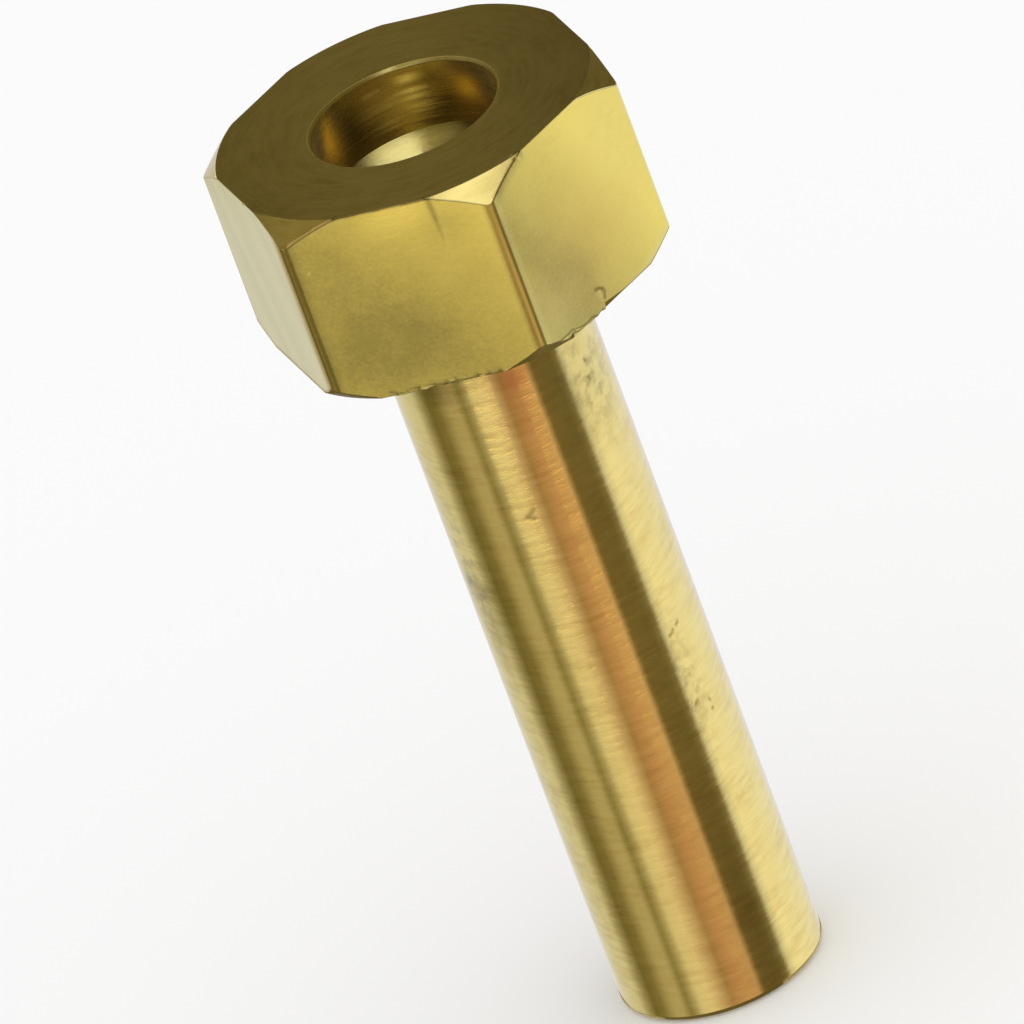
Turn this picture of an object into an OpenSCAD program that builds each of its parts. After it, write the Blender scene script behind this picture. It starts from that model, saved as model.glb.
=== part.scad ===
// Insert nut: a hexagon head with a shallow blind bore on a long plain shank,
// turned in one piece from brass hexagon bar.
// It stands on the flat end of its shank. Z runs up the axis, and the origin is at
// the centre of that end. One pair of the head's flats faces along Y.

/* [Head] */
// Distance across the flats of the hexagon bar
head_af = 22.2; // [18:0.1:36]
// Height of the head, from its seat to its top face
head_h = 12.2; // [6:0.1:30]
// Radius that rounds the six upright corners of the bar
corner_r = 0.6; // [0.2:0.1:2]
// How far down the corners the 45 degree chamfer of the top face reaches
top_chamfer = 1.3; // [0.4:0.1:2.4]
// How far up the corners the 45 degree chamfer of the seat reaches
seat_chamfer = 1; // [0.4:0.1:2.4]

/* [Shank] */
// Diameter of the shank
shank_d = 12.5; // [6:0.1:16]
// Length of the shank, from its flat end to the seat of the head
shank_l = 47.6; // [10:0.1:100]
// Chamfer on the end of the shank
end_chamfer = 0.4; // [0.1:0.1:1]

/* [Bore] */
// Diameter of the blind bore in the head
bore_d = 11.4; // [4:0.1:15]
// Depth of the bore's straight wall, from the top face to the drill point
bore_depth = 4.4; // [1:0.1:10]
// Angle of the drill point that ends the bore
point_angle = 118; // [90:1:140]
// Edge break around the mouth of the bore
mouth_break = 0.15; // [0.05:0.05:0.5]

/* [Hidden] */

// Segments of the preview circles
$fn = 128;

// How far a cutting shape runs past the face that it cuts
overrun = 0.5;

// The bar's section: straight flats joined by round corners
flat_out = head_af / 2;
flat_half = (flat_out - corner_r) * tan(30);
corner_centre = (flat_out - corner_r) / cos(30);
corner_out = corner_centre + corner_r;

overall_l = shank_l + head_h;
point_h = bore_d / 2 / tan(point_angle / 2);

// Section of the hexagon bar, with one corner along +X
module bar_section() {
    polygon([
        for (facing = [30:60:330], side = [-1, 1])
            [
                flat_out * cos(facing) - side * flat_half * sin(facing),
                flat_out * sin(facing) + side * flat_half * cos(facing)
            ]
    ]);
    for (corner = [0:60:300])
        rotate(corner)
            translate([corner_centre, 0])
                circle(r = corner_r);
}

// Envelope that the lathe leaves of the head: its two chamfers cut only the corners
module turned_envelope() {
    rotate_extrude()
        polygon([
            [0, 0],
            [corner_out - seat_chamfer, 0],
            [corner_out + overrun, seat_chamfer + overrun],
            [corner_out + overrun, head_h - top_chamfer - overrun],
            [corner_out - top_chamfer, head_h],
            [0, head_h]
        ]);
}

module head() {
    intersection() {
        linear_extrude(head_h)
            bar_section();
        turned_envelope();
    }
}

// Shank with its end chamfer, up into the head
module shank() {
    rotate_extrude()
        polygon([
            [0, 0],
            [shank_d / 2 - end_chamfer, 0],
            [shank_d / 2, end_chamfer],
            [shank_d / 2, shank_l + overrun],
            [0, shank_l + overrun]
        ]);
}

// Blind bore, as the drill leaves it, with the break of its mouth
module bore() {
    rotate_extrude()
        polygon([
            [0, overall_l - bore_depth - point_h],
            [bore_d / 2, overall_l - bore_depth],
            [bore_d / 2, overall_l - mouth_break],
            [bore_d / 2 + mouth_break + overrun, overall_l + overrun],
            [0, overall_l + overrun]
        ]);
}

module insert_nut() {
    color("#b59d4c")
        difference() {
            union() {
                shank();
                translate([0, 0, shank_l])
                    head();
            }
            bore();
        }
}

insert_nut();
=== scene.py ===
import math

import bmesh
import bpy
import numpy as np
from mathutils import Matrix, Vector


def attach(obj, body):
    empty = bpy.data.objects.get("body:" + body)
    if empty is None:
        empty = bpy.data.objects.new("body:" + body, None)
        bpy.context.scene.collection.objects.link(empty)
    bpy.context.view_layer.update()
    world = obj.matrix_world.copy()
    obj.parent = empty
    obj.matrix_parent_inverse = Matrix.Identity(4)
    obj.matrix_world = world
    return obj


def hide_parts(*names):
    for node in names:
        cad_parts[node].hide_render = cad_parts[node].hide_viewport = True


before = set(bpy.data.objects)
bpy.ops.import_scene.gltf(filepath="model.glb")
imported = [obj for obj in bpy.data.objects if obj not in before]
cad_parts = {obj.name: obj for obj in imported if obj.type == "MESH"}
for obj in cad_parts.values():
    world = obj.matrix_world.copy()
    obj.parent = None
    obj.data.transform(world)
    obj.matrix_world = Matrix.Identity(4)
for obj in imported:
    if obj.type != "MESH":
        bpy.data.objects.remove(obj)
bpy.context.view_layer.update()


# ---- The insert nut ---------------------------------------------------------------
# One piece of free-cutting brass, turned on a lathe from drawn hexagon bar: the six
# flats are the bar's own skin, and everything else is cut. Nothing is fixed to it, and
# it stands on the flat end of its shank.

# Its sizes. All lengths are in millimetres until the mesh is written
across_flats = 22.2
corner_radius = 0.6
seat_height = 47.6
top_height = 59.8
top_chamfer = 1.3
seat_chamfer = 1.0
shank_radius = 6.25
end_chamfer = 0.4
bore_radius = 5.7
bore_floor = 55.4
drill_slope = math.tan(math.radians(90 - 118 / 2))
mouth_break = 0.15
edge_break = 0.04
rubbed_round = 0.035

# The surface stays this far inside the bar's full size
inside = 0.001

# The bar's section, as columns of the mesh, each with its turn about the axis and its
# reach from it: round corners, with flats between them. The three flats that carry the
# marks have more columns. Each flat has one close to either end, so that the light
# doesn't bend before the corner
flat_out = across_flats / 2 - inside
corner_centre = (across_flats / 2 - corner_radius) / math.cos(math.radians(30))
corner_out = corner_centre + corner_radius - inside
flat_half = (across_flats / 2 - corner_radius) * math.tan(math.radians(30))
close_to_end = 0.04
turn, reach = [], []
for corner in range(0, 360, 60):
    for lean in np.radians(np.linspace(-30, 30, 11)):
        out = corner_centre + (corner_radius - inside) * math.cos(lean)
        aside = (corner_radius - inside) * math.sin(lean)
        turn.append(math.radians(corner) + math.atan2(aside, out))
        reach.append(math.hypot(out, aside))
    columns = 46 if corner >= 180 else 30
    across_flat = np.linspace(-flat_half, flat_half, columns)
    across_flat[0] += close_to_end
    across_flat[-1] -= close_to_end
    for across in across_flat:
        turn.append(math.radians(corner + 30) + math.atan2(across, flat_out))
        reach.append(math.hypot(across, flat_out))
turn, reach = np.array(turn), np.array(reach)

# Each chamfer reaches as deep as the bar sticks out of its cone. The middle of a flat
# only has its edge broken with a file. Where a cut is small, its edges are rubbed less
top_cut = np.maximum(reach - (corner_out - top_chamfer), edge_break)
seat_cut = np.maximum(reach - (corner_out - seat_chamfer), edge_break)
top_lip = np.minimum(rubbed_round, 0.3 * top_cut)
seat_lip = np.minimum(rubbed_round, 0.3 * seat_cut)

# The nut's outline from the middle of its end to the drill point: radius, height, how
# far its corner there is rubbed round, then the surface that leads on and its steps
outline = [
    (1.0, 0.0, 0.03, "turned", 5),
    (shank_radius - end_chamfer, 0.0, 0.03, "turned", 2),
    (shank_radius, end_chamfer, 0.03, "turned", 80),
    (shank_radius, seat_height, 0.05, "turned", 5),
    (reach - seat_cut, seat_height, seat_lip, "turned", 4),
    (reach, seat_height + seat_cut, seat_lip, "drawn", 46),
    (reach, top_height - top_cut, top_lip, "turned", 6),
    (reach - top_cut, top_height, top_lip, "turned", 14),
    (bore_radius + mouth_break, top_height, 0.03, "rubbed", 1),
    (bore_radius, top_height - mouth_break, 0.03, "drilled", 36),
    (bore_radius, bore_floor, 0.04, "rubbed", 10),
    (0.6, bore_floor - (bore_radius - 0.6) * drill_slope, 0.03, "turned", 1),
]
stations = [
    np.stack([radius + np.zeros_like(turn), height + np.zeros_like(turn)], axis=1)
    for radius, height, *rest in outline
]

# Every surface stops short of its corners, a rubbed strip turns each corner, and one
# more ring close to it keeps the surface flat. The flats have closer rings near their
# ends, where they are marked
rings, finishes = [stations[0]], ["turned"]
for step in range(1, len(outline)):
    start, end = stations[step - 1], stations[step]
    way = (end - start) / np.linalg.norm(end - start, axis=1)[:, None]
    lip, finish, steps = outline[step - 1][2:]
    lip_after = outline[step][2]
    first = start + way * (np.asarray(lip).reshape(-1, 1))
    last = end - way * (np.asarray(lip_after).reshape(-1, 1))
    if finish == "drawn":
        shares = [0.5 - 0.5 * math.cos(math.pi * share / steps) for share in range(1, steps)]
    else:
        shares = [share / steps for share in range(1, steps)]
    rings.append(first)
    finishes.append("rubbed")
    rings.append(first + (first - start))
    finishes.append(finish)
    for share in shares:
        rings.append(first + (last - first) * share)
        finishes.append(finish)
    rings.append(last + (last - end))
    finishes.append(finish)
    rings.append(last)
    finishes.append(finish)

rings = np.array(rings)
ring_count, column_count = rings.shape[:2]
corners = np.stack([
    rings[:, :, 0] * np.cos(turn), rings[:, :, 0] * np.sin(turn), rings[:, :, 1],
], axis=2).reshape(-1, 3).tolist()
materials = ["turned", "drawn", "rubbed", "drilled"]
faces, kinds = [], []
for ring in range(ring_count - 1):
    for column in range(column_count):
        after = (column + 1) % column_count
        faces.append((
            ring * column_count + column,
            ring * column_count + after,
            (ring + 1) * column_count + after,
            (ring + 1) * column_count + column,
        ))
        kinds.append(materials.index(finishes[ring + 1]))

# A fan of faces closes each end of the outline: the shank's end and the drill point
for ring, middle_height in ((0, 0.0), (ring_count - 1, bore_floor - bore_radius * drill_slope)):
    middle = len(corners)
    corners.append((0.0, 0.0, middle_height))
    for column in range(column_count):
        near = ring * column_count + column
        far = ring * column_count + (column + 1) % column_count
        faces.append((far, near, middle) if ring == 0 else (near, far, middle))
        kinds.append(materials.index("turned"))

nut_mesh = bpy.data.meshes.new("insert_nut_visual")
nut_mesh.from_pydata(corners, [], faces)
nut_mesh.polygons.foreach_set("material_index", np.array(kinds, dtype=np.int32))

# A side is named by the bearing in degrees that it faces: 0 is the front flat, 60 the
# flat on its right and -60 the one on its left. The faces that belong to a side lie
# further out than this
out_on_flat, out_on_shank = 11.0, 4.0

# Finer mesh where the nut is marked: the side, where the patch starts and ends, across
# and up, and how many cuts each face gets there
fine_patches = [
    (0, 2.6, 3.7, 56.0, 59.9, 5),
    (0, -5.7, -5.0, 56.3, 57.0, 3),
    (0, -3.7, 3.9, 47.5, 48.2, 3),
    (60, -1.3, 0.1, 47.5, 49.3, 5),
    (60, -6.3, -1.3, 47.5, 48.4, 3),
    (60, -6.3, -2.5, 58.2, 59.9, 3),
    (-60, 0.8, 1.7, 59.2, 59.9, 3),
    (4, -0.6, 0.6, 34.6, 36.2, 3),
    (60, -0.9, 0.9, 23.6, 25.0, 3),
    (62, -0.9, 0.9, 17.8, 19.8, 3),
    (70, -0.9, 0.9, 38.2, 43.8, 3),
    (26, -0.6, 0.6, 42.8, 44.6, 3),
]
shape = bmesh.new()
shape.from_mesh(nut_mesh)
for facing, left, right, low, high, cuts in fine_patches:
    swing = math.radians(facing)
    nearest = out_on_flat if low > seat_height - 0.2 else out_on_shank
    chosen = set()
    for face in shape.faces:
        x, y, z = face.calc_center_median()
        across = x * math.cos(swing) + y * math.sin(swing)
        out = x * math.sin(swing) - y * math.cos(swing)
        if out > nearest and left < across < right and low < z < high:
            chosen.update(face.edges)
    bmesh.ops.subdivide_edges(shape, edges=list(chosen), cuts=cuts, use_grid_fill=True)
shape.to_mesh(nut_mesh)
shape.free()

# From here on, x, y and z hold every point of the nut, and each mark is worked into all
# of them at once
coordinates = np.empty(len(nut_mesh.vertices) * 3)
nut_mesh.vertices.foreach_get("co", coordinates)
x, y, z = coordinates.reshape(-1, 3).T.copy()
from_axis = np.hypot(x, y)
sink = np.zeros((3, len(x)))

# What use has left on the metal, and the light and shade painted on it, from 0 to 1 at
# each point: film is dark tarnish and painted shade, bloom is bare or hazy pale metal and
# painted highlights, copper is a warm stain and the bore's painted amber glow, pits are
# dull spots, and grime is dry dirt and painted shade, which hide the metal's shine
film_and_shade, bloom_and_highlight, copper_and_glow, pits, grime_and_shade = np.zeros((5, len(x)))


def seen_from(facing):
    """How far each point lies across, to the right, and out, seen from one side."""
    swing = math.radians(facing)
    return x * math.cos(swing) + y * math.sin(swing), x * math.sin(swing) - y * math.cos(swing)


def push(facing, depth):
    """A move straight into one side, or out of it where depth is below 0."""
    swing = math.radians(facing)
    return np.stack([-math.sin(swing) * depth, math.cos(swing) * depth])


def scratch_gap(across, height, path):
    """How far each point lies from a scratch drawn through the places of path."""
    nearest = np.full(across.shape, 99.0)
    for (from_across, from_height), (to_across, to_height) in zip(path, path[1:]):
        run, rise = to_across - from_across, to_height - from_height
        along = (across - from_across) * run + (height - from_height) * rise
        share = np.clip(along / (run * run + rise * rise), 0, 1)
        gap = np.hypot(across - from_across - share * run, height - from_height - share * rise)
        nearest = np.minimum(nearest, gap)
    return nearest


def ragged(along, pitch, seed):
    """An uneven line between -1 and 1, the same each time it is drawn."""
    knots = np.random.default_rng(seed).uniform(-1, 1, 200)
    return np.interp((along / pitch) % 199, np.arange(200), knots)


def soft(distance, size):
    """1 in the middle of a mark, fading to 0 a little over its size away."""
    return np.exp(-(distance / size) ** 2)


def oval(facing, across, height, wide, tall, where):
    """A soft oval on one side, 1 in its middle and 0 well outside its width and height."""
    along, out = seen_from(facing)
    distance = np.hypot((along - across) / wide, (z - height) / tall)
    return soft(distance, 1.0) * (where & (out > 0))


# The outside of the head, how far out its flats lie, and the wall of the shank
head = (z > seat_height - 0.01) & (from_axis > 8.0)
skin = flat_out - 0.04
shank = (z < seat_height - 0.1) & (from_axis < shank_radius + 0.01)

# Where the chamfers end on each flat, and how near every point is to its lower edge
near_corner = from_axis - corner_out
top_cone = top_height - near_corner - top_chamfer
seat_cone = seat_height + near_corner + seat_chamfer
low_edge = soft(z - seat_height - edge_break, 0.2) * head
low_line = soft(z - seat_height - edge_break, 0.05) * head

# Front flat: a folded crease from its top edge, with painted shade along it and a painted
# highlight beside it, and a small pit painted as a bright highlight
across, out = seen_from(0)
here = head & (out > skin)
crease = scratch_gap(across, z, [(2.93, 59.8), (2.98, 58.6), (3.0, 57.4), (3.03, 56.4)])
fading = np.clip((z - 56.3) / 3.0, 0, 1) * here
depth = 0.0025 * soft(crease, 0.15) * fading
grime_and_shade += 0.4 * soft(crease, 0.08 + 0.12 * fading) * fading
film_and_shade += 0.4 * soft(crease, 0.08 + 0.12 * fading) * fading
bloom_and_highlight += 0.3 * oval(0, 3.35, 57.5, 0.2, 0.3, here)
bloom_and_highlight += oval(0, -5.34, 56.67, 0.09, 0.08, here)

# Its lower edge is torn, with a broken dark line painted along it as shade and bare flecks
# drawn along it
torn = low_edge * (across > -3.4) * (across < 3.6)
depth += 0.05 * np.maximum(0, ragged(across, 0.33, 4)) * torn
sink[:2] += push(0, depth * here)
sink[2] -= 0.13 * np.maximum(0, ragged(across, 0.37, 3)) * torn * here
shade_line = scratch_gap(across, z, [
    (-3.3, 47.93), (-2.9, 47.8), (-2.5, 47.72), (-1.9, 47.86), (-1.5, 47.78),
    (-1.4, 47.92), (-0.6, 47.79), (0.3, 47.66), (0.9, 47.75), (1.5, 47.66),
    (2.2, 47.78), (2.8, 47.68), (3.5, 47.74),
])
broken = soft(shade_line, 0.06) * np.clip(0.55 + 0.6 * ragged(across, 0.22, 14), 0, 1) * here
grime_and_shade += 0.8 * broken
film_and_shade += 0.6 * broken
flecks = [
    (-2.6, 47.66, 0.13, 0.04),
    (-1.15, 47.7, 0.22, 0.05),
    (0.55, 47.8, 0.13, 0.05),
    (1.3, 47.8, 0.1, 0.04),
    (2.3, 47.66, 0.16, 0.04),
]
for along, height, wide, tall in flecks:
    bloom_and_highlight += oval(0, along, height, wide, tall, here)

# It has darkened from its lower left, a broken dark line runs along the middle of its top
# edge, and pale lines are painted along its chamfer edges as highlights
film_and_shade += np.clip(0.70 - 0.065 * across - 0.05 * (z - 54), 0, 0.8) * here
film_and_shade -= 0.25 * oval(0, 0.5, 59.2, 2.6, 1.2, here)
film_and_shade += 0.12 * oval(0, -1.0, 51.0, 3.0, 1.4, here)
film_and_shade += 0.2 * oval(0, -2.2, 51.0, 3.4, 3.0, here)
film_and_shade += 0.24 * oval(0, 4.0, 58.2, 2.0, 1.6, here)
film_and_shade -= 0.05 * soft(z - 47.9, 1.0) * here
film_and_shade += 0.12 * oval(0, 5.0, 53.8, 2.5, 3.0, here)
dark_top_line = soft(z - 59.74, 0.06) * (0.7 + 0.6 * ragged(across, 0.4, 6))
dark_top_line *= here & (np.abs(across) < 3.0)
grime_and_shade += 0.6 * dark_top_line
film_and_shade += 0.6 * dark_top_line
bloom_and_highlight += 0.4 * soft(z - top_cone + 0.05, 0.05) * (here & (np.abs(across) > 3.0))
bloom_and_highlight += 0.5 * soft(z - seat_cone - 0.05, 0.05) * (here & (across > 3.7))

# Right flat: a hooked nick over its lower edge, a thick cap with a softer leg, painted dark
# as the nick's shade, with painted highlights under its cap
across, out = seen_from(60)
here = head & (out > skin)
cap = scratch_gap(across, z, [(-1.0, 49.05), (-0.8, 49.0), (-0.6, 48.9), (-0.45, 48.76)])
leg = scratch_gap(across, z, [(-0.45, 48.76), (-0.36, 48.5), (-0.5, 48.2)])
depth = 0.02 * soft(cap, 0.1) + 0.012 * soft(leg, 0.12)
nick_shade_cap = soft(cap, 0.085) * (0.85 + 0.15 * ragged(across, 0.09, 15))
nick_shade_leg = 0.65 * soft(leg, 0.11) * (0.8 + 0.2 * ragged(z, 0.11, 16))
nick_shade = np.maximum(nick_shade_cap, nick_shade_leg) * here
grime_and_shade += nick_shade
film_and_shade += 1.1 * nick_shade
film_and_shade += 0.25 * oval(60, -0.95, 49.05, 0.35, 0.2, here)
bloom_and_highlight += 0.6 * oval(60, -0.74, 48.74, 0.16, 0.08, here)
bloom_and_highlight += 0.35 * oval(60, -0.75, 48.4, 0.12, 0.25, here)

# Its lower edge is worn away beside the nick and torn further left, with a dark line painted
# along it as shade and pale flecks. Right of the nick, the edge and its underside are painted
# dark as the shade under the head
torn = low_edge * (across > -5.6) * (across < -0.7)
depth += 0.04 * np.maximum(0, ragged(across, 0.35, 8)) * torn
worn_off = 0.24 * np.clip((1.3 - across) / 1.9, 0, 1) * (across > -0.66)
worn_off += 0.28 * soft(across + 3.8, 0.5)
chips = 0.12 * np.maximum(0, ragged(across, 0.37, 11)) * torn
sink[2] += (worn_off * low_edge - chips) * here
shade_line = scratch_gap(across, z, [
    (-5.6, 48.32), (-5.0, 48.1), (-4.07, 48.07), (-3.83, 48.12), (-3.6, 47.96),
    (-3.2, 47.84), (-2.79, 47.75), (-2.45, 47.75), (-2.02, 47.8), (-1.6, 47.7),
])
grime_and_shade += 0.8 * soft(shade_line, 0.06) * here
film_and_shade += 0.7 * soft(shade_line, 0.06) * here
bloom_and_highlight += 0.9 * oval(60, -3.46, 47.84, 0.14, 0.05, here)
bloom_and_highlight += 0.9 * oval(60, -4.6, 47.95, 0.3, 0.05, here)
right_of_nick = here * (across > -1.6) * (across < 4.0)
grime_and_shade += 0.7 * low_line * right_of_nick
film_and_shade += 0.3 * low_line * right_of_nick
under_edge = head & (z < seat_height + 0.06) & (out > 10.8) & (across > -0.8) & (across < 4.0)
grime_and_shade += 0.9 * under_edge
film_and_shade += 0.9 * under_edge

# A rolled burr stands where the corner's chamfer meets this flat. Shade is painted along and
# below it, and two specks on it are painted as highlights
rolled = soft(z - top_cone, 0.06) * (head & (out > skin - 0.05)) * (across > -6.05) * (across < -2.9)
rolled *= 0.7 + 0.3 * ragged(across, 0.25, 9)
depth += 0.015 * rolled
sink[:2] += push(60, depth * here)
grime_and_shade += 0.6 * rolled
below_burr = np.clip((across + 6.2) / 0.8, 0, 1) * (across < -2.6) * here
film_and_shade += 0.4 * soft(z - top_cone, 0.45) * below_burr
bloom_and_highlight += oval(60, -3.2, 59.66, 0.1, 0.08, here)
bloom_and_highlight += oval(60, -3.0, 59.5, 0.08, 0.07, here)
grime_and_shade += 0.8 * oval(60, -3.38, 59.64, 0.14, 0.13, head & (out > skin - 0.4))

# It is hazy low on its left and golden in its middle, with pale lines painted along its edges
# as highlights
film_and_shade += np.clip(0.40 - 0.10 * across - 0.05 * (z - 54), 0, 0.85) * here
film_and_shade += 0.3 * oval(60, -2.2, 50.3, 1.8, 2.0, here)
film_and_shade -= 0.08 * oval(60, -4.4, 57.6, 2.2, 2.0, here)
copper_and_glow += 0.15 * oval(60, -1.4, 53.0, 3.6, 5.0, here)
copper_and_glow += 0.14 * oval(60, 1.6, 51.8, 2.8, 3.2, here)
bloom_and_highlight += 0.3 * oval(60, -5.0, 49.2, 3.4, 3.0, here)
bloom_and_highlight += 0.25 * oval(60, 5.0, 56.0, 3.0, 5.0, here)
bloom_and_highlight += 0.25 * soft(across + 5.9, 0.2) * here
bloom_and_highlight += 0.45 * soft(z - seat_cone - 0.3, 0.3) * (here & (across > -0.5))
bloom_and_highlight += 0.6 * soft(z - top_cone + 0.05, 0.05) * (here & (across > -2.7))
bloom_and_highlight += 0.7 * soft(z - seat_cone - 0.05, 0.05) * (here & (across < -3.9))

# Left flat: pale all over in slanting streaks, but for its right end, painted dark as the shade
# where the corner turns. A dark line is painted along its lower edge as the shade of the seat's
# chamfer, and it has a nick in its top edge
across, out = seen_from(-60)
here = head & (out > skin)
dark_end = np.clip((across - 4.75) / 1.15, 0, 1)
slanting = 0.5 + 0.5 * ragged(across + 0.35 * z, 1.3, 21)
bloom_and_highlight += (1 - dark_end) * (1 - 0.14 * slanting) * here
film_and_shade += (0.6 * dark_end + 0.5 * slanting * (1 - dark_end)) * here
grime_and_shade += 0.12 * np.clip((z - 56.5) / 2.5, 0, 1) * np.clip((3.0 - across) / 3.0, 0, 1) * here
grime_and_shade += 0.85 * dark_end * here
lower_line = soft(z - np.maximum(seat_cone, seat_height + edge_break), 0.22) * here
grime_and_shade += 0.75 * lower_line
film_and_shade += 0.8 * lower_line
nick = np.hypot(across - 1.22, z - 59.7)
sink[:2] += push(-60, 0.12 * soft(nick, 0.12) * here)

# The three flats at the back have a thin even film
for facing in (120, 180, 240):
    across, out = seen_from(facing)
    film_and_shade += np.clip(0.35 - 0.02 * across - 0.02 * (z - 54), 0, 0.6) * (head & (out > skin))

# The rounded corners are painted over as their shade where they turn: browned on the right of
# the front flat, dark on its left. The chamfer of the seat is painted dark as the shade under
# the head, and a bright fleck lies on its tip at the right
corner_strip = head & (z < top_cone - 0.01) & (z > seat_cone + 0.01)
across, out = seen_from(30)
strip = corner_strip & (out > 12.3)
grime_and_shade += np.interp(across, [-0.5, -0.32, -0.29, 0.27, 0.31], [0, 0.5, 0.85, 0.85, 0]) * strip
copper_and_glow += 0.35 * soft(across + 0.02, 0.1) * np.clip((58 - z) / 4, 0, 1) * strip
film_and_shade += 0.2 * soft(across - 0.2, 0.1) * strip
bloom_and_highlight += oval(30, 0.08, 48.66, 0.14, 0.1, head)
across, out = seen_from(-30)
strip = corner_strip & (out > 12.3)
grime_and_shade += np.interp(across, [-0.31, -0.29, 0.29, 0.35, 0.8], [0, 0.9, 0.9, 0.4, 0]) * strip
film_and_shade += np.interp(
    across, [-0.31, -0.29, 0.0, 0.1, 0.2, 0.31, 0.33], [0, 0.8, 0.85, 0.7, 0.4, 0.1, 0],
) * strip
on_seat_chamfer = head & (np.abs(z - seat_cone) < 0.04)
grime_and_shade += 0.9 * on_seat_chamfer
film_and_shade += on_seat_chamfer

# The top chamfer: darker beside the burr on the right corner, and from left to right on the
# left one. The front flat's upper left edge is painted pale as a highlight
across, out = seen_from(30)
facet = head & (np.abs(z - top_cone) < 0.05)
film_and_shade += 0.5 * oval(30, 2.6, 59.5, 1.5, 0.7, facet)
film_and_shade += 0.25 * oval(30, -3.0, 59.7, 1.2, 0.7, facet)
film_and_shade += 0.22 * oval(30, 0.7, 59.0, 1.3, 0.6, facet)
across, out = seen_from(-30)
left_facet = facet & (out > 10.5) & (np.abs(across) < 5.5)
film_and_shade += 0.35 * np.clip((across + 1.0) / 2.0, -0.6, 1) * left_facet
across, out = seen_from(0)
pale_edge = head & (np.abs(z - top_cone) < 0.06) & (out > skin - 0.05)
pale_edge &= (across < -3.0) & (across > -6.1)
grime_and_shade += 0.8 * pale_edge
film_and_shade -= 0.5 * pale_edge

# The top face has a browner film towards its two sides
across, out = seen_from(17)
top_face = (z > top_height - 0.01) & (from_axis > bore_radius + mouth_break + 0.1)
film_and_shade += (0.035 * np.maximum(0, across - 2) + 0.02 * np.maximum(0, -across - 4)) * top_face

# Shank: a dent, slanting scores and pits, each with its side, path, width and depth
dents = [
    (4, [(0.45, 35.6), (-0.1, 35.25), (0.3, 35.05)], 0.12, 0.007),
    (60, [(0.45, 24.5), (0.2, 24.4)], 0.08, 0.008),
    (60, [(-0.15, 24.25), (-0.55, 24.1)], 0.08, 0.008),
    (62, [(-0.5, 19.4), (-0.75, 19.3)], 0.09, 0.012),
    (62, [(0.4, 18.9), (0.5, 18.8)], 0.07, 0.012),
    (62, [(0.4, 18.25), (0.5, 18.2)], 0.07, 0.012),
    (70, [(-0.3, 42.6), (-0.2, 42.4)], 0.07, 0.012),
    (70, [(-0.45, 41.5), (-0.4, 41.3)], 0.07, 0.012),
]
for facing, path, size, deep in dents:
    across, out = seen_from(facing)
    near_side = shank & (out > 0)
    dent = scratch_gap(across, z, path)
    sink[:2] += push(facing, deep * soft(dent, size) * near_side)
    grime_and_shade += 0.5 * soft(dent, size * 1.3) * near_side
    film_and_shade += 0.4 * soft(dent, size * 1.3) * near_side

# Its stains: copper under the head with a ring dried into it, scuffs on the left, and spots
# on the right. Just under the head, the front is painted darker as the head's shade
copper_and_glow += 0.55 * oval(22, 0.0, 44.1, 1.0, 0.8, shank)
copper_and_glow += 0.2 * oval(20, 0.0, 42.5, 0.8, 2.0, shank)
across, out = seen_from(26)
dried = np.hypot(across, z - 43.7) - 0.25
bloom_and_highlight += 0.3 * soft(dried, 0.07) * (shank & (out > 0))
copper_and_glow += 0.1 * oval(26, 0.0, 6.0, 1.4, 10.0, shank)
# Painted shade of the head, just under it
film_and_shade += 0.5 * oval(-22, 0.0, 44.4, 1.5, 0.7, shank)
film_and_shade += 0.3 * oval(40, 0.0, 5.0, 1.1, 9.0, shank)
# More painted shade of the head, just under it
film_and_shade += 0.25 * oval(26, 0.0, 44.9, 1.3, 0.9, shank)
film_and_shade += 0.18 * oval(4, 0.0, 45.9, 1.1, 1.2, shank)
film_and_shade += 0.4 * oval(-54, 0.0, 30.5, 0.9, 0.9, shank)
film_and_shade += 0.35 * oval(-42, 0.0, 30.2, 0.9, 0.7, shank)
film_and_shade += 0.25 * oval(-46, 0.0, 27.5, 1.0, 2.5, shank)
pits += oval(66, 0.0, 41.4, 2.1, 3.8, shank)
film_and_shade += 0.16 * oval(60, 0.0, 41.8, 1.9, 3.4, shank)
bloom_and_highlight += 0.3 * oval(62, 0.0, 42.2, 2.2, 3.4, shank)
pits += 0.9 * oval(56, 0.0, 21.0, 0.9, 3.4, shank)
pits += 0.9 * oval(-50, 0.0, 31.5, 1.4, 4.5, shank)
pits += 0.3 * oval(-50, 0.0, 15.0, 1.4, 12.0, shank)

# The bore's wall: darker in places, with the amber of light thrown from side to side painted
# between, and dull all over
bore = (from_axis < bore_radius + 0.02) & (z > seat_height)
wall = bore & (z > bore_floor + 0.05)
film_and_shade += 0.8 * oval(-131, 0.0, 57.5, 1.1, 2.6, wall)
film_and_shade += 0.5 * oval(-168, 0.0, 57.8, 1.6, 3.5, wall)
film_and_shade += 0.6 * oval(-187, 0.0, 58.8, 1.1, 1.0, wall)
film_and_shade += 0.6 * oval(-190, 0.0, 56.7, 1.3, 1.5, wall)
film_and_shade += 0.4 * oval(-226, 0.0, 58.0, 1.7, 3.0, wall)
copper_and_glow += oval(-111, 0.0, 57.8, 0.8, 2.2, wall)
copper_and_glow += oval(-207, 0.0, 57.8, 0.8, 0.9, wall)
grime_and_shade += 0.10 * wall
grime_and_shade += 0.25 * oval(-232, 0.0, 58.0, 1.4, 3.0, wall)
grime_and_shade += 0.2 * oval(-94, 0.0, 57.5, 1.2, 3.0, wall)
grime_and_shade += 0.15 * oval(-111, 0.0, 57.8, 0.7, 2.0, wall)
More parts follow.
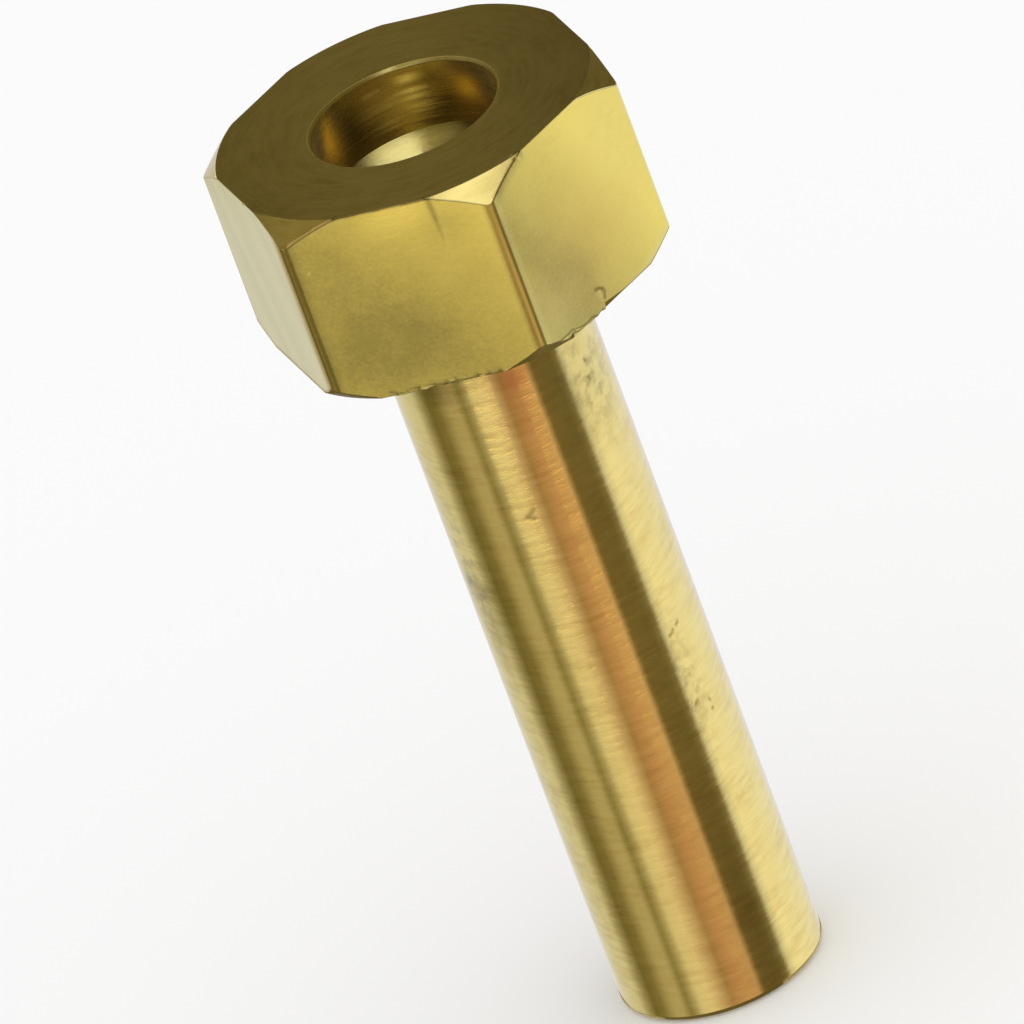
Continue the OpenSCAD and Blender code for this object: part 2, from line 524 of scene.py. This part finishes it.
grime_and_shade += 0.15 * oval(-207, 0.0, 57.7, 0.8, 0.8, wall)

# Bright streaks are painted around its far side as highlights, each with its bearing, height,
# length, width and brightness
streaks = [
    (-172, 58.85, 0.65, 0.24, 0.62),
    (-173, 58.05, 0.65, 0.16, 0.5),
    (-173, 57.6, 0.6, 0.16, 0.45),
    (-175, 56.9, 0.8, 0.5, 0.2),
    (-148, 58.75, 0.55, 0.14, 0.45),
    (-155, 57.7, 1.3, 0.5, 0.2),
    (-153, 56.5, 0.6, 0.45, 0.35),
]
along_wall = np.arctan2(y, x) * bore_radius
uneven_streak = 0.75 + 0.25 * ragged(z, 0.12, 31) + 0.25 * ragged(along_wall, 0.2, 32)
for facing, height, wide, tall, bright in streaks:
    streak = bright * oval(facing, 0.0, height, wide, tall, wall) * uneven_streak
    grime_and_shade += 0.35 * streak
    bloom_and_highlight += 1.7 * streak
    film_and_shade -= streak

# The drill point: painted pale as a highlight where it is seen, and painted dark as shade
# towards both sides and where it meets the wall
drill_point = bore & (z < bore_floor + 0.05)
film_and_shade += 0.5 * soft(z - bore_floor, 0.05) * bore
film_and_shade += 0.9 * oval(-122, 0.0, 55.0, 1.9, 3.0, drill_point)
film_and_shade += 0.35 * oval(-200, 0.0, 55.0, 3.0, 3.0, drill_point)
film_and_shade += 0.7 * oval(-214, 0.0, 55.0, 1.8, 3.0, drill_point)
grime_and_shade += 0.7 * oval(-214, 0.0, 55.0, 1.8, 3.0, drill_point)
bloom_and_highlight += 0.8 * oval(-150, 0.0, 55.0, 2.4, 3.0, drill_point)

# The bevel around its mouth has a highlight painted on one side and is dull elsewhere
mouth = (from_axis > bore_radius - 0.01) & (from_axis < bore_radius + mouth_break + 0.02)
mouth &= z > top_height - 0.2
mouth_highlight = oval(-172, 0.0, 59.8, 1.5, 1.0, mouth)
dull_mouth = mouth * (1 - mouth_highlight) * (1 - 0.4 * oval(-215, 0.0, 59.8, 3.0, 1.0, mouth))
bloom_and_highlight += mouth_highlight
grime_and_shade += dull_mouth
film_and_shade += dull_mouth
copper_and_glow -= mouth

# The marks move the points, and none may stand out past a flat
x, y, z = np.stack([x, y, z]) + sink
for facing in range(0, 360, 60):
    past_flat = np.maximum(0, seen_from(facing)[1] - flat_out)
    x, y = np.stack([x, y]) + push(facing, past_flat)

nut_mesh.vertices.foreach_set("co", (np.stack([x, y, z], axis=1) * 0.001).ravel())
nut_mesh.update()
nut_mesh.shade_smooth()
crisp_angle = 24
nut_mesh.set_sharp_from_angle(angle=math.radians(crisp_angle))
nut = bpy.data.objects.new("insert_nut_visual", nut_mesh)
bpy.context.scene.collection.objects.link(nut)

layers = {"film_and_shade": film_and_shade, "bloom_and_highlight": bloom_and_highlight, "copper_and_glow": copper_and_glow, "pits": pits, "grime_and_shade": grime_and_shade}
for name, amount in layers.items():
    layer = nut_mesh.attributes.new(name, "FLOAT", "POINT")
    layer.data.foreach_set("value", np.clip(amount, 0, 1))


def linear(colour):
    """An sRGB hex colour as linear red, green, blue and 1."""
    parts = [int(colour[place:place + 2], 16) / 255 for place in (1, 3, 5)]
    return (*[v / 12.92 if v <= 0.04045 else ((v + 0.055) / 1.055) ** 2.4 for v in parts], 1.0)


def add(tree, kind, inputs=None, **settings):
    """Add one node, set it, and link or set its inputs."""
    made = tree.nodes.new(kind)
    for name, value in settings.items():
        setattr(made, name, value)
    for name, value in (inputs or {}).items():
        if isinstance(value, bpy.types.NodeSocket):
            tree.links.new(value, made.inputs[name])
        else:
            made.inputs[name].default_value = value
    return made


# Widths of the brass's patterns in millimetres. The lathe's feed is 0.3 mm and the
# brass's grain 0.05 mm: both are too fine to show, so the marks are drawn a little
# coarser and the grain four times as coarse. Tarnish clouds over in patches of about
# 3 mm, and its dull spots are a little under 1 mm
mark_width = 0.3846
grain_width = 0.2
cloud_width = 2.857
spot_width = 0.8333


def brass(name, clean, marked, filmed_and_shaded, warm, glossy, dull, mark_depth, mark_stretch):
    """Brass with marks cut around it that hold a film, with stains from handling, and with painted shade,
    highlights and glow.

    A mark is mark_depth millimetres deep, and mark_stretch times as long as it is wide.
    """
    made = bpy.data.materials.new(name)
    made.use_nodes = True
    tree = made.node_tree
    tree.nodes.clear()

    # Marks that run around the axis, on the walls and the faces alike, with a fine grain
    # and slow clouds over them
    place = add(tree, "ShaderNodeTexCoord").outputs["Object"]
    mm = add(tree, "ShaderNodeVectorMath", {0: place, "Scale": 1000.0}, operation="SCALE").outputs[0]
    level = add(tree, "ShaderNodeVectorMath", {0: mm, 1: (1, 1, 0)}, operation="MULTIPLY").outputs[0]
    axis_gap = add(tree, "ShaderNodeVectorMath", {0: level}, operation="LENGTH").outputs["Value"]
    stretched = add(tree, "ShaderNodeVectorMath", {
        0: mm, 1: (1 / mark_stretch, 1 / mark_stretch, 1),
    }, operation="MULTIPLY").outputs[0]
    marks = add(tree, "ShaderNodeTexNoise", {
        "Vector": stretched, "W": axis_gap, "Scale": 1 / mark_width, "Detail": 3.0,
        "Roughness": 0.6,
    }, noise_dimensions="4D").outputs["Fac"]
    grain = add(tree, "ShaderNodeTexNoise", {
        "Vector": mm, "Scale": 1 / grain_width, "Detail": 2.0,
    }).outputs["Fac"]
    cloud = add(tree, "ShaderNodeTexNoise", {
        "Vector": mm, "Scale": 1 / cloud_width, "Detail": 5.0, "Roughness": 0.6,
    }).outputs["Fac"]
    spots = add(tree, "ShaderNodeTexNoise", {
        "Vector": mm, "Scale": 1 / spot_width, "Detail": 3.0,
    }).outputs["Fac"]
    film_and_shade_layer, bloom_and_highlight_layer, copper_and_glow_layer, pits_layer, grime_and_shade_layer = [
        add(tree, "ShaderNodeAttribute", attribute_name=layer).outputs["Fac"] for layer in layers
    ]

    # How much of each stain, and of the shade and highlights painted with them, shows: the marks
    # fill unevenly, and film and grime break up with the clouds and the grain
    in_marks = add(tree, "ShaderNodeMapRange", {
        "Value": marks, "From Min": 0.62, "From Max": 0.36,
    }).outputs["Result"]
    uneven = add(tree, "ShaderNodeMapRange", {
        "Value": cloud, "From Min": 0.35, "From Max": 0.65, "To Min": 0.1, "To Max": 0.5,
    }).outputs["Result"]
    mark_film = add(tree, "ShaderNodeMath", {0: in_marks, 1: uneven}, operation="MULTIPLY").outputs[0]
    patchy = add(tree, "ShaderNodeMapRange", {
        "Value": cloud, "From Min": 0.3, "From Max": 0.7, "To Min": 0.9, "To Max": 1.1,
    }).outputs["Result"]
    streaky = add(tree, "ShaderNodeMapRange", {
        "Value": grain, "From Min": 0.3, "From Max": 0.7, "To Min": 0.92, "To Max": 1.06,
    }).outputs["Result"]
    patched = add(tree, "ShaderNodeMath", {0: film_and_shade_layer, 1: patchy}, operation="MULTIPLY").outputs[0]
    film_and_shade_share = add(tree, "ShaderNodeMath", {0: patched, 1: streaky}, operation="MULTIPLY").outputs[0]
    bloom_and_highlight_share = add(tree, "ShaderNodeMath", {0: bloom_and_highlight_layer, 1: 0.8}, operation="MULTIPLY").outputs[0]
    spotted = add(tree, "ShaderNodeMapRange", {
        "Value": spots, "From Min": 0.46, "From Max": 0.62, "To Min": 0.0, "To Max": 0.45,
    }).outputs["Result"]
    spot_share = add(tree, "ShaderNodeMath", {0: spotted, 1: pits_layer}, operation="MULTIPLY").outputs[0]
    grime_and_shade_share = add(tree, "ShaderNodeMath", {0: grime_and_shade_layer, 1: streaky}, operation="MULTIPLY").outputs[0]

    # The stains, with the painted shade, highlights and glow, lie over the clean metal in this
    # order. Grime and painted shade are darker on a film; they aren't metal and have no gloss
    grime_and_shade_colour = add(tree, "ShaderNodeMix", {
        0: film_and_shade_layer, 6: linear("#a07c36"), 7: linear("#645420"),
    }, data_type="RGBA").outputs[2]
    bare = add(tree, "ShaderNodeMath", {0: 1.0, 1: grime_and_shade_share}, operation="SUBTRACT").outputs[0]
    colour = linear(clean)
    for share, stain in (
        (mark_film, linear(marked)),
        (film_and_shade_share, linear(filmed_and_shaded)),
        (bloom_and_highlight_share, linear("#e4d88e")),
        (grime_and_shade_share, grime_and_shade_colour),
        (copper_and_glow_layer, linear(warm)),
        (spot_share, linear("#7a7048")),
    ):
        colour = add(tree, "ShaderNodeMix", {0: share, 6: colour, 7: stain}, data_type="RGBA").outputs[2]

    # The floor of a mark is duller than the metal between, and so is a film
    marked_rough = add(tree, "ShaderNodeMapRange", {
        "Value": marks, "From Min": 0.35, "From Max": 0.65, "To Min": glossy, "To Max": dull,
    }).outputs["Result"]
    rough = add(tree, "ShaderNodeMath", {
        0: film_and_shade_share, 1: 0.06, 2: marked_rough,
    }, operation="MULTIPLY_ADD").outputs[0]
    lift = add(tree, "ShaderNodeMath", {0: grain, 1: 0.12, 2: marks}, operation="MULTIPLY_ADD").outputs[0]
    bump = add(tree, "ShaderNodeBump", {
        "Height": lift, "Strength": 1.0, "Distance": mark_depth * 0.001,
    })
    shader = add(tree, "ShaderNodeBsdfPrincipled", {
        "Base Color": colour, "Metallic": bare, "Roughness": rough, "Specular IOR Level": 0.0,
        "Normal": bump.outputs["Normal"],
    })
    add(tree, "ShaderNodeOutputMaterial", {"Surface": shader.outputs[0]})
    nut_mesh.materials.append(made)


# Free-cutting brass as a sharp lathe tool leaves it: bright pale gold with fine rings
# around the axis, which draw each reflection out and hold a brown film
brass(
    "turned_brass",
    clean="#f4e08c", marked="#c8aa56", filmed_and_shaded="#5c4c20", warm="#cb8a5c",
    glossy=0.06, dull=0.13, mark_depth=0.008, mark_stretch=5,
)

# The skin of the bar, as the drawing die leaves it: smoother but duller than a cut face,
# a flat yellow with hardly a mark, which goes olive under its film
brass(
    "drawn_brass",
    clean="#f4e074", marked="#e6d060", filmed_and_shaded="#a29750", warm="#d0a458",
    glossy=0.10, dull=0.17, mark_depth=0.003, mark_stretch=2,
)

# Edges that handling has rubbed round, and the drill point: a satin gold without clear
# rings, which spreads a highlight into a soft line
brass(
    "rubbed_brass",
    clean="#f2e08c", marked="#a48c48", filmed_and_shaded="#4a3d1a", warm="#cb8a5c",
    glossy=0.12, dull=0.25, mark_depth=0.005, mark_stretch=2,
)

# The wall of the bore, as the drill tore it: dull brown gold with deep rings almost all
# the way around, and amber where light is thrown from side to side
brass(
    "drilled_brass",
    clean="#b8a05c", marked="#8c7438", filmed_and_shaded="#4e4018", warm="#f8cc48",
    glossy=0.16, dull=0.30, mark_depth=0.03, mark_stretch=20,
)

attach(nut, "root")
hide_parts("insert_nut")


# ---- The floor --------------------------------------------------------------------
# A plain sheet of matt white paper that the nut stands on. It takes the nut's soft
# shadow. The metal doesn't reflect it, because the cards below stand in for it. From
# here on, lengths are in metres.

floor_mesh = bpy.data.meshes.new("paper_floor")
floor_mesh.from_pydata([(-20, -20, 0), (20, -20, 0), (20, 20, 0), (-20, 20, 0)], [], [(0, 1, 2, 3)])
floor = bpy.data.objects.new("paper_floor", floor_mesh)
bpy.context.scene.collection.objects.link(floor)

# Uncoated paper: a plain white with no shine at all
paper = bpy.data.materials.new("matt_white_paper")
paper.use_nodes = True
paper_shader = paper.node_tree.nodes["Principled BSDF"]
paper_shader.inputs["Base Color"].default_value = linear("#fbfbfb")
paper_shader.inputs["Roughness"].default_value = 1.0
paper_shader.inputs["Specular IOR Level"].default_value = 0.0
floor_mesh.materials.append(paper)
floor.visible_glossy = False


# ---- The light --------------------------------------------------------------------
# A room with white walls lights the nut evenly. One soft box hangs level above it, to
# the right and in front.

wall_glow = 0.97
world = bpy.data.worlds.new("white_room")
bpy.context.scene.world = world
world.use_nodes = True
world.node_tree.nodes["Background"].inputs["Color"].default_value = linear("#ffffff")
world.node_tree.nodes["Background"].inputs["Strength"].default_value = wall_glow

studio_swing = math.radians(17)


def in_studio(side, front, height):
    """A place in the studio, which is swung round the nut to face the camera."""
    return (
        side * math.cos(studio_swing) + front * math.sin(studio_swing),
        side * math.sin(studio_swing) - front * math.cos(studio_swing),
        height,
    )


box_width, box_length, box_glow = 1.1, 1.8, 0.2
lamp_data = bpy.data.lights.new("soft_box", "AREA")
lamp_data.shape = "RECTANGLE"
lamp_data.size = box_width
lamp_data.size_y = box_length
lamp_data.energy = box_glow * math.pi * box_width * box_length
lamp = bpy.data.objects.new("soft_box", lamp_data)
bpy.context.scene.collection.objects.link(lamp)
lamp.location = in_studio(0.47, 0.4, 1.5)
lamp.rotation_euler = (0, 0, studio_swing)


# ---- The cards --------------------------------------------------------------------
# Painted cards stand in a ring around the nut, as a studio sets them to give bright
# metal its dark and gold bands. Each glows by itself, and only reflections see it.


def show_card(name, corners, faces, colour):
    """Stand a glowing card in the studio, where only reflections see it."""
    mesh = bpy.data.meshes.new(name)
    mesh.from_pydata(corners, [], faces)
    card = bpy.data.objects.new(name, mesh)
    bpy.context.scene.collection.objects.link(card)
    paint = bpy.data.materials.new("painted_" + name)
    paint.use_nodes = True
    paint.node_tree.nodes.clear()
    mesh.materials.append(paint)
    glow = add(paint.node_tree, "ShaderNodeEmission", {"Color": linear(colour), "Strength": 1.0})
    add(paint.node_tree, "ShaderNodeOutputMaterial", {"Surface": glow.outputs[0]})
    card.visible_camera = False
    card.visible_diffuse = False
    card.visible_transmission = False
    card.visible_volume_scatter = False
    card.visible_shadow = False
    return mesh, paint.node_tree, glow


def curved_card(name, low, high, colours, ring=1.6):
    """A card curved around the nut, shaded from colour to colour at their bearings."""
    start, end = colours[0][0], colours[-1][0]
    steps = 24
    corners = []
    for step in range(steps + 1):
        bearing = math.radians(start + (end - start) * step / steps)
        for tilt in (low, high):
            height = ring * math.tan(math.radians(tilt))
            corners.append((ring * math.sin(bearing), -ring * math.cos(bearing), height))
    quads = [(2 * step, 2 * step + 2, 2 * step + 3, 2 * step + 1) for step in range(steps)]
    mesh, tree, glow = show_card(name, corners, quads, colours[0][1])
    across = mesh.uv_layers.new(name="across")
    for loop in mesh.loops:
        across.data[loop.index].uv = (loop.vertex_index // 2 / steps, loop.vertex_index % 2)
    uv = add(tree, "ShaderNodeUVMap", uv_map="across").outputs["UV"]
    share = add(tree, "ShaderNodeSeparateXYZ", {"Vector": uv})
    ramp = add(tree, "ShaderNodeValToRGB", {"Fac": share.outputs["X"]})
    stops = ramp.color_ramp.elements
    stops[0].color = linear(colours[0][1])
    stops[1].color = linear(colours[-1][1])
    for bearing, colour in colours[1:-1]:
        stops.new((bearing - start) / (end - start)).color = linear(colour)
    tree.links.new(ramp.outputs["Color"], glow.inputs["Color"])
    return tree, share.outputs["Y"], glow


# A ring below eye level goes all the way round, and glows less towards its top
tree, up_card, glow = curved_card("lower_ring", -78, -2, [
    (-163, "#dde1ec"),
    (-140, "#d3d5dc"),
    (-100, "#c8c9cf"),
    (-88, "#99958b"),
    (-78, "#6f694b"),
    (-66, "#7c745a"),
    (-52, "#a9a292"),
    (-42, "#ada59a"),
    (-34, "#847e60"),
    (-27, "#a59f92"),
    (-20, "#d0cac4"),
    (-8, "#d9cdc9"),
    (4, "#bfaaa2"),
    (13, "#a28570"),
    (24, "#ba9484"),
    (33, "#c2a08c"),
    (44, "#c6a898"),
    (50, "#71644b"),
    (74, "#6b624b"),
    (82, "#7d7564"),
    (88, "#d4d6e2"),
    (97, "#edebf2"),
    (140, "#e6e9f8"),
    (197, "#d8dbec"),
])
brighter_low = add(tree, "ShaderNodeMapRange", {
    "Value": up_card, "From Min": 0.82, "From Max": 0.97, "To Min": 1.4, "To Max": 0.9,
}).outputs["Result"]
tree.links.new(brighter_low, glow.inputs["Strength"])

# Two narrow strips just inside it give the rubbed edges a gold and an orange glint
glint = 1.25
for name, start, end, colour in (("gold_edge", -24, 3, "#fff0d4"), ("orange_edge", 30, 44, "#f4c49c")):
    tree, up_card, glow = curved_card(name, -24.8, -20, [(start, colour), (end, colour)], 1.58)
    glow.inputs["Strength"].default_value = glint

# A dark card high at the back gives the top face its brown
curved_card("dark_back", 3, 62, [(117, "#625c46"), (240, "#6a634a"), (277, "#8b8468")])

# A dim sheet hangs overhead, to the left of the soft box
overhead = [in_studio(side, front, 1.45) for side, front in ((-5, -4), (-0.08, -4), (-0.08, 4), (-5, 4))]
show_card("dim_left", overhead, [(0, 1, 2, 3)], "#9c9272")

# Two discs lie just under the shank's end, for its chamfer to reflect: a whole pale one, and
# over its front part a dark one, a painted reflection of the paper's shade under the shank
disc_radius = 0.0072
for name, start, end, below, colour in (
    ("dark_under", -35, 50, 0.0005, "#6a6040"),
    ("pale_under", -125, 235, 0.0006, "#a49a72"),
):
    rim = [(0, 0, -below)]
    for bearing in np.radians(np.arange(start, end + 1, 5)):
        rim.append((disc_radius * math.sin(bearing), -disc_radius * math.cos(bearing), -below))
    fan = [(0, step, step + 1) for step in range(1, len(rim) - 1)]
    show_card(name, rim, fan, colour)


# ---- The camera -------------------------------------------------------------------
# A long lens looks down on the nut from well away, a little to the right of its front.
# It is turned about its own axis so that the nut leans.

bearing, rise, lean = math.radians(17.15), math.radians(27.46), math.radians(20.6)
back = Vector((math.sin(bearing) * math.cos(rise), -math.cos(bearing) * math.cos(rise), math.sin(rise)))
level = Vector((math.cos(bearing), math.sin(bearing), 0))
upward = back.cross(level)
across = level * math.cos(lean) - upward * math.sin(lean)
up = level * math.sin(lean) + upward * math.cos(lean)
aim = Vector((0.00113, -0.01122, 0.03853))

# The lens grows with the distance, which keeps the nut's size in the frame
distance = 2.7
lens_for_a_metre = 606.2
camera_data = bpy.data.cameras.new("camera")
camera_data.lens = lens_for_a_metre * distance
camera_data.sensor_width = 36
camera_data.clip_end = 100
camera = bpy.data.objects.new("camera", camera_data)
bpy.context.scene.collection.objects.link(camera)
turned_to = Matrix((across, up, back)).transposed().to_4x4()
camera.matrix_world = Matrix.Translation(aim + back * distance) @ turned_to
bpy.context.scene.camera = camera
bpy.context.scene.view_settings.view_transform = "Standard"
